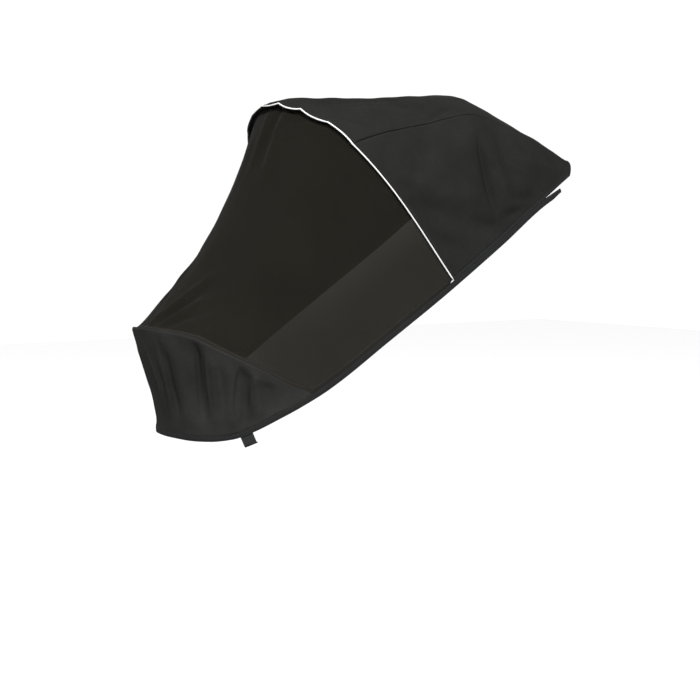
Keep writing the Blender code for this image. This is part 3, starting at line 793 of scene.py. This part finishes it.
# Lengths along the cloth in both directions, so that the weave keeps its real size.
def clothMap(grid):
    over, middle = lengthsOver(grid), grid.shape[1] // 2
    return np.stack([over - over[:, middle : middle + 1], lengthsUp(grid)], axis=2).reshape(-1, 2)


def addSheet(name, grid, thick, material, node):
    rows, columns = grid.shape[:2]
    index = np.arange(rows * columns).reshape(rows, columns)
    a, b, c, d = index[:-1, :-1], index[:-1, 1:], index[1:, 1:], index[1:, :-1]
    faces = np.stack([a, d, c, b], axis=2).reshape(-1, 4).tolist()
    made = addPiece(name, grid.reshape(-1, 3), faces, clothMap(grid), material)
    wall = made.modifiers.new("cloth", "SOLIDIFY")
    wall.thickness = thick
    wall.offset = -1.0
    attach(made, "root")
    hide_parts(node)
    return made


# A closed strip or tube through rings of equal point counts, mapped along and round.
def addSweep(name, rings, material, node):
    first = rings[0]
    arms = first - first.mean(axis=0)
    turn = np.cross(arms, np.roll(arms, -1, axis=0)).sum(axis=0)
    if turn @ (rings[1].mean(axis=0) - first.mean(axis=0)) > 0:
        rings = [ring[::-1] for ring in rings]
    count = len(first)
    faces = [tuple(range(count))]
    for i in range(len(rings) - 1):
        for j in range(count):
            a, b = i * count + j, i * count + (j + 1) % count
            faces.append((a, a + count, b + count, b))
    faces.append(tuple(reversed([(len(rings) - 1) * count + j for j in range(count)])))
    along = lengthsAlong(np.array([ring.mean(axis=0) for ring in rings]))
    coords = [(run, side) for ring, run in zip(rings, along) for side in lengthsAlong(ring)]
    made = addPiece(name, np.concatenate(rings), faces, coords, material)
    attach(made, "root")
    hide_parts(node)
    return made


stripEdge = {"inset": 0.6, "height": 0.9, "turns": (60, 30, 0, -30, -60)}


# A flat strip's outline: two faces with rounded edges, and sewn channels as (place, width, depth).
def stripProfile(width, thick, points, channels=(), crown=0.0):
    half, edge = width / 2, thick / 2
    outline = []
    for side in (1, -1):
        reach = half - edge * stripEdge["inset"]
        s = np.linspace(-reach, reach, points) * side
        t = np.full(points, edge) + crown * (1 - (s / half) ** 2)
        for place, wide, deep in channels:
            t = t - deep * np.exp(-(((s - place) / wide) ** 2))
        outline += list(zip(s, t * side))
        for turn in stripEdge["turns"]:
            r = math.radians(turn)
            back = edge * stripEdge["inset"] * (1 - math.cos(r))
            outline.append((side * (half - back), side * edge * stripEdge["height"] * math.sin(r)))
    return np.array(outline)


hoodBase = hoodGrid()
footBase = footGrid()
netBase = netGrid(hoodBase, footBase)
hood = creasedPanel(hoodBase, hoodCreases, hoodSizes, seams=True)
foot = creasedPanel(footBase, footCreases, footSizes, sides=False)
net = creasedPanel(netBase, netCreases, netSizes)
print("cloth shapes made", hood.shape, foot.shape, net.shape)


# The sheets.

# How clear the net is of its painted shade: 0 low beside the side hems, where it is denser and darker, and 1
# over the front and higher up.
def addShadeClearing(made, grid):
    hemHeights = np.interp(-grid[:, :, 1], -hem[:hemHalf, 1], hem[:hemHalf, 2])
    above = stepUp(grid[:, :, 2] - hemHeights, *netLook["shadeClearAbove"])
    cleared = np.maximum(above, stepUp(-grid[:, :, 1], *netLook["shadeClearAhead"]))
    layer = made.data.attributes.new("shadeCleared", "FLOAT", "POINT")
    layer.data.foreach_set("value", cleared.reshape(-1).astype(np.float32))


def addHoodSheet(name, grid, node):
    return addSheet(name, grid, hoodSizes["thick"], materials["hood"], node)


wall, crownEnd = hoodSizes["wallSteps"], hoodSizes["wallSteps"] + hoodSizes["crownSteps"]
rightCloth, crownCloth, leftCloth = hood[:, : wall + 1], hood[:, wall : crownEnd + 1], hood[:, crownEnd:]
sideRight = addHoodSheet("hoodSideRight", rightCloth, "hood_side_right")
crown = addHoodSheet("hoodCrown", crownCloth, "hood_crown")
sideLeft = addHoodSheet("hoodSideLeft", leftCloth, "hood_side_left")
netPanel = addSheet("netPanel", net, netSizes["thick"], materials["net"], "net_panel")
addShadeClearing(netPanel, net)
footPanel = addSheet("footPanel", foot, footSizes["thick"], materials["foot"], "foot_panel")
print("sheets made")


# The trims.

bandLook = {
    "thickShare": 0.8, "proud": 0.0007, "points": 22,
    "channelAt": (-0.0042, 0.0042), "channelWide": 0.0008, "channelDeep": 0.0011,
    "gather": 0.00018, "gatherEvery": 0.0065, "gatherDrift": 0.25, "gatherSeed": 5,
}
tapeLook = {"thickShare": 0.8, "proud": 0.0006, "points": 7, "crown": 0.0003}


# The hem's lengths and the band's width at each, narrower at its two ends.
def hemWidths():
    s = hemSizes
    along = lengthsAlong(hem)
    room = np.minimum(along, along[-1] - along)
    return along, s["endWidth"] + (s["bandWidth"] - s["endWidth"]) * stepUp(room, 0.0, s["endTaper"])


def addHemBand():
    s, look = hemSizes, bandLook
    along, widths = hemWidths()
    middle = hem + (s["bandWidth"] - widths / 2)[:, None] * hemUp
    middle = middle - (s["bandThick"] / 2 - look["proud"]) * hemOut
    rng = np.random.default_rng(look["gatherSeed"])
    phase = np.cumsum(rng.normal(0.0, look["gatherDrift"], len(along)))
    ripple = look["gather"] * np.sin(2 * math.pi * along / look["gatherEvery"] + phase)
    rings = []
    for k in range(len(hem)):
        share = widths[k] / s["bandWidth"]
        channels = [(at * share, look["channelWide"], look["channelDeep"]) for at in look["channelAt"]]
        profile = stripProfile(widths[k], s["bandThick"] * look["thickShare"], look["points"], channels)
        lift = ripple[k] * (1 - (2 * profile[:, 0] / widths[k]) ** 2)
        rings.append(middle[k] + profile[:, :1] * hemUp[k] + (profile[:, 1] + lift)[:, None] * hemOut[k])
    return addSweep("hemBand", rings, materials["elastic"], "hem_band")


def ringsAlong(path, across, facing, profile):
    return [p + profile[:, :1] * a + profile[:, 1:] * f for p, a, f in zip(path, across, facing)]


def mitred(path, facing):
    along = unit(np.diff(path, axis=0))
    first = unit(np.cross(along[[0, *range(len(along))]], facing))
    second = unit(np.cross(along[[*range(len(along)), -1]], facing))
    away = unit(first + second)
    return away / (away * first).sum(axis=1)[:, None]


def bindingPath():
    outward = outwardOf(hoodBase)
    path = np.concatenate([hoodBase[:-1, 0], hoodBase[-1, :-1], hoodBase[::-1, -1]])
    last = -1 - edgeIn
    facing = np.concatenate([outward[:-1, edgeIn], outward[last, :-1], outward[::-1, last]])
    return path, facing


def addHoodBinding():
    s = hoodSizes
    path, facing = bindingPath()
    path[0] += s["bindingStart"] * unit(path[1] - path[0])
    path[-1] += s["bindingStart"] * unit(path[-2] - path[-1])
    away = mitred(path, facing)
    facing = unit(np.cross(away, np.gradient(path, axis=0)))
    # It laps over the hood's edge and down to the band, so that no light shows between them.
    reach = s["bindingGap"] + s["bindingWidth"] + hemSizes["bandGap"] + s["bindingLap"]
    middle = path + (reach - s["bindingLap"]) / 2 * away
    middle = middle - (s["bindingThick"] / 2 - tapeLook["proud"]) * facing
    thick = s["bindingThick"] * tapeLook["thickShare"]
    width = reach + s["bindingLap"]
    profile = stripProfile(width, thick, tapeLook["points"], crown=tapeLook["crown"])
    rings = ringsAlong(middle, away, facing, profile)
    return addSweep("hoodBinding", rings, materials["tape"], "hood_binding")


rimSizes = {
    "radius": 0.0015, "sunk": 0.0006, "round": 12,
    "facingThick": 0.0008, "facingDepth": 0.0012, "behind": 0.009, "ahead": 0.0040, "facingPoints": 8,
}


def rimRun():
    ahead = unit(hoodBase[0] - hoodBase[leadRows])
    outward = outwardOf(hoodBase)[0]
    rim = hoodBase[0].copy()
    down = unit(hoodBase[0, 0] - hoodBase[0, leadRows])
    rim[0] += hoodSizes["bindingWidth"] * down
    rim[-1] += hoodSizes["bindingWidth"] * down * mirrored
    return rim, ahead, outward


def addRimPiping():
    rim, ahead, outward = rimRun()
    radius = rimSizes["radius"]
    middle = rim + radius * ahead - rimSizes["sunk"] * outward
    turns = np.linspace(0, 2 * math.pi, rimSizes["round"], endpoint=False)
    over, up = radius * np.cos(turns)[:, None], radius * np.sin(turns)[:, None]
    rings = [p + over * a + up * o for p, a, o in zip(middle, ahead, outward)]
    return addSweep("rimPiping", rings, materials["cord"], "rim_piping")


# A dark tape facing inside the rim; it also stands in for the line of shade under the piping, so it is partly
# painted shade.
def addRimFacingAndShade():
    rim, ahead, outward = rimRun()
    width = rimSizes["behind"] + rimSizes["ahead"]
    middle = rim + (rimSizes["ahead"] - width / 2) * ahead
    middle = middle - (rimSizes["facingDepth"] + rimSizes["facingThick"] / 2) * outward
    profile = stripProfile(width, rimSizes["facingThick"], rimSizes["facingPoints"])
    rings = ringsAlong(middle, ahead, outward, profile)
    return addSweep("rimFacing", rings, materials["tape"], "rim_facing")


strapSizes = {
    "width": 0.025, "thick": 0.0015, "depth": 0.0037, "top": 0.020, "drop": 0.015,
    "bend": 0.006, "back": 0.006, "atY": -0.592, "straight": 12, "turned": 8, "points": 14,
}


def addStrap(name, side, node):
    s = strapSizes
    k = int(np.argmin(np.abs(hem[:hemHalf, 1] - s["atY"])))
    mirror = np.array([side, 1.0, 1.0])
    outward, up = hemOut[k] * mirror, hemUp[k] * mirror
    across = np.cross(up, outward)
    depth = s["depth"] + s["thick"] / 2
    route = [(-depth, height) for height in np.linspace(s["top"], -s["drop"], s["straight"])]
    for turn in np.linspace(0.0, math.pi / 2, s["turned"])[1:]:
        inward = depth + s["bend"] * (1 - math.cos(turn))
        route.append((-inward, -s["drop"] - s["bend"] * math.sin(turn)))
    route.append((route[-1][0] - s["back"], route[-1][1]))
    flat = np.array(route)
    path = hem[k] * mirror + flat[:, :1] * outward + flat[:, 1:] * up
    facing = unit(np.cross(unit(np.gradient(path, axis=0)), across))
    profile = stripProfile(s["width"], s["thick"], s["points"])
    rings = ringsAlong(path, [across] * len(path), facing, profile)
    return addSweep(name, rings, materials["webbing"], node)


addHemBand()
hoodBinding = addHoodBinding()
rimPiping = addRimPiping()
rimFacing = addRimFacingAndShade()
strapRight = addStrap("strapRight", 1.0, "strap_right")
strapLeft = addStrap("strapLeft", -1.0, "strap_left")
print("trims made")


# Stitching, by Geometry Nodes.

stitchLook = {
    "every": 0.0042, "length": 0.0028, "radius": 0.00035, "netRadius": 0.000315,
    "round": 6, "tilt": 0.06, "seed": 3, "raised": 0.3,
}


# Lays a short rounded stitch at even steps along each edge path, turned to the cloth's normal.
def stitchTree(material):
    tree = bpy.data.node_groups.new("stitch_row", "GeometryNodeTree")
    face = tree.interface
    face.new_socket("Geometry", in_out="INPUT", socket_type="NodeSocketGeometry")
    for name in ("Spacing", "Stitch length", "Thread radius"):
        face.new_socket(name, in_out="INPUT", socket_type="NodeSocketFloat")
    face.new_socket("Seed", in_out="INPUT", socket_type="NodeSocketInt")
    face.new_socket("Geometry", in_out="OUTPUT", socket_type="NodeSocketGeometry")
    given = addNode(tree, "NodeGroupInput")
    curve = addNode(tree, "GeometryNodeMeshToCurve", in0=given.outputs["Geometry"])
    even = addNode(
        tree, "GeometryNodeResampleCurve", {"mode": "LENGTH"},
        Curve=curve.outputs[0], Length=given.outputs["Spacing"],
    )
    line = addNode(
        tree, "GeometryNodeMeshCylinder", {"fill_type": "NGON"}, Vertices=stitchLook["round"],
        Radius=given.outputs["Thread radius"], Depth=given.outputs["Stitch length"],
    )
    tangent = addNode(tree, "GeometryNodeInputTangent")
    tilt = addNode(tree, "FunctionNodeRandomValue", {"data_type": "FLOAT_VECTOR"}, Seed=given.outputs["Seed"])
    tilt.inputs[0].default_value = (-stitchLook["tilt"],) * 3
    tilt.inputs[1].default_value = (stitchLook["tilt"],) * 3
    wobble = addNode(
        tree, "ShaderNodeVectorMath", {"operation": "ADD"}, in0=tangent.outputs[0], in1=tilt.outputs[0]
    )
    turn = addNode(tree, "FunctionNodeAlignRotationToVector", {"axis": "Z"}, Vector=wobble.outputs[0])
    placed = addNode(
        tree, "GeometryNodeInstanceOnPoints",
        Points=even.outputs[0], Instance=line.outputs[0], Rotation=turn.outputs[0],
    )
    real = addNode(tree, "GeometryNodeRealizeInstances", in0=placed.outputs[0])
    finish = addNode(tree, "GeometryNodeSetMaterial", Geometry=real.outputs[0], Material=material)
    result = addNode(tree, "NodeGroupOutput")
    tree.links.new(finish.outputs[0], result.inputs[0])
    return tree


def addStitches(name, paths, material, radius=stitchLook["radius"]):
    points, edges = [], []
    for path in paths:
        start = len(points)
        points += [tuple(p) for p in path]
        edges += [(start + k, start + k + 1) for k in range(len(path) - 1)]
    mesh = bpy.data.meshes.new(name)
    mesh.from_pydata(points, edges, [])
    guide = bpy.data.objects.new(name + "Guide", mesh)
    link(guide)
    tree = stitchTree(material)
    rows = guide.modifiers.new("stitches", "NODES")
    rows.node_group = tree
    wanted = {
        "Spacing": stitchLook["every"], "Stitch length": stitchLook["length"],
        "Thread radius": radius, "Seed": stitchLook["seed"],
    }
    for item in tree.interface.items_tree:
        if item.item_type == "SOCKET" and item.in_out == "INPUT" and item.name in wanted:
            rows[item.identifier] = wanted[item.name]
    graph = bpy.context.evaluated_depsgraph_get()
    made = bpy.data.objects.new(name, bpy.data.meshes.new_from_object(guide.evaluated_get(graph)))
    link(made)
    bpy.data.objects.remove(guide)
    made.data.name = name
    made.data.shade_smooth()
    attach(made, "root")
    return made


# A line inside a grid's border, this far from it along the cloth.
def inset(grid, border, distance):
    lines, outs = grid, outwardOf(grid)
    if border in ("right", "left"):
        lines, outs = lines.transpose(1, 0, 2), outs.transpose(1, 0, 2)
    if border in ("last", "left"):
        lines, outs = lines[::-1], outs[::-1]
    path = []
    for k in range(lines.shape[1]):
        run = lines[:, k]
        along = lengthsAlong(run)
        at = min(distance, along[-1] * stitchRows["farthest"])
        p = np.array([np.interp(at, along, run[:, a]) for a in range(3)])
        n = np.array([np.interp(at, along, outs[:, k, a]) for a in range(3)])
        path.append(p + stitchLook["radius"] * stitchLook["raised"] * unit(n))
    return np.array(path)


# One row of stitches on each channel of the band, short of its two ends.
def hemRow(at):
    s = hemSizes
    along, widths = hemWidths()
    keep = (along > stitchRows["bandEnd"]) & (along < along[-1] - stitchRows["bandEnd"])
    height = s["bandWidth"] - widths / 2 + at * widths / s["bandWidth"]
    face = bandLook["proud"] - s["bandThick"] * (1 - bandLook["thickShare"]) / 2
    out = face - bandLook["channelDeep"] / 2
    return (hem + height[:, None] * hemUp + out * hemOut)[keep]


stitchRows = {
    "seam": 0.003, "rim": 0.0035, "pastLap": 0.004, "farthest": 0.9, "bandEnd": 0.012,
    "cornerSkip": 6, "sideSkip": 2, "sidePast": 4,
}
shoulders = [(rightCloth, "left"), (crownCloth, "right"), (crownCloth, "left"), (leftCloth, "right")]
shoulderRows = [inset(cloth, border, stitchRows["seam"]) for cloth, border in shoulders]
rimRows = [inset(hood, "first", stitchRows["rim"])]
footRows = [inset(foot, "last", stitchRows["seam"])]
corner = netSizes["hemPoints"] + stitchRows["cornerSkip"]
netLaps = inset(net, "first", netSizes["lap"] + stitchRows["pastLap"])[corner:-corner]
sideHem = inset(net, "first", netLook["doubledHeight"])
skip, sideEnd = stitchRows["sideSkip"], netSizes["hemPoints"] + stitchRows["sidePast"]
netHemRows = [sideHem[skip:sideEnd], sideHem[-sideEnd:-skip]]
grey, light = materials["thread"], materials["netThread"]
shoulderStitches = addStitches("shoulderStitches", shoulderRows, grey)
rimStitches = addStitches("rimStitches", rimRows, grey)
footStitches = addStitches("footSeamStitches", footRows, grey)
netSeamStitches = addStitches("netSeamStitches", [netLaps], light)
netHemStitches = addStitches("netHemStitches", netHemRows, light, stitchLook["netRadius"])
hemRows = [hemRow(at) for at in bandLook["channelAt"]]
addStitches("hemStitches", hemRows, grey)
print("stitches made")


# Floor, light and camera.

studio = {
    "floorZ": -1.08, "floorSize": 14.0, "floorColour": "#929292", "floorGlow": 0.62,
    "roughness": 0.9, "specular": 0.1,
    "world": 1.02,
    "cameraAt": (2.12406, -1.73918, -0.31873), "turn": 0.9588213, "tip": 0.0861644, "lens": 63.49,
}
lamps = [
    # name, where, aimed at, size, watts
    ("keyLight", (2.85, -1.91, 1.52), (0.0, -0.2, -0.3), 0.9, 430),
    ("rearFill", (3.3, 1.2, 0.9), (0.1, -0.1, -0.3), 1.2, 85),
    ("frontFill", (-0.4, -2.9, 2.3), (0.0, -0.2, -0.3), 1.6, 115),
]


def addStudio():
    half = studio["floorSize"] / 2
    z = studio["floorZ"]
    mesh = bpy.data.meshes.new("floor")
    corners = [(-half, -half, z), (half, -half, z), (half, half, z), (-half, half, z)]
    mesh.from_pydata(corners, [], [(0, 1, 2, 3)])
    floor = bpy.data.objects.new("floor", mesh)
    link(floor)
    made, _, shader = startMaterial("pale_floor", studio)
    shader.inputs["Base Color"].default_value = fromHex(studio["floorColour"])
    shader.inputs["Emission Color"].default_value = (1.0, 1.0, 1.0, 1.0)
    shader.inputs["Emission Strength"].default_value = studio["floorGlow"]
    mesh.materials.append(made)
    world = bpy.data.worlds.new("studio")
    world.use_nodes = True
    sky = world.node_tree.nodes["Background"]
    sky.inputs["Color"].default_value = (1.0, 1.0, 1.0, 1.0)
    sky.inputs["Strength"].default_value = studio["world"]
    bpy.context.scene.world = world
    for name, where, aim, size, watts in lamps:
        data = bpy.data.lights.new(name, "AREA")
        data.shape, data.size, data.energy = "DISK", size, watts
        lamp = bpy.data.objects.new(name, data)
        ray = Vector(aim) - Vector(where)
        turned = ray.to_track_quat("-Z", "Y").to_matrix().to_4x4()
        lamp.matrix_world = Matrix.Translation(where) @ turned
        link(lamp)
    bpy.context.scene.view_settings.view_transform = "Standard"


def addCamera():
    data = bpy.data.cameras.new("camera")
    data.lens, data.sensor_width = studio["lens"], 36.0
    data.clip_end = 60.0
    camera = bpy.data.objects.new("camera", data)
    a, p = studio["turn"], studio["tip"]
    back = Vector((math.sin(a) * math.cos(p), -math.cos(a) * math.cos(p), math.sin(p)))
    right = Vector((math.cos(a), math.sin(a), 0.0))
    up = back.cross(right)
    turned = Matrix((right, up, back)).transposed().to_4x4()
    camera.matrix_world = Matrix.Translation(studio["cameraAt"]) @ turned
    link(camera)
    bpy.context.scene.camera = camera


addStudio()
addCamera()
print("studio and camera set")
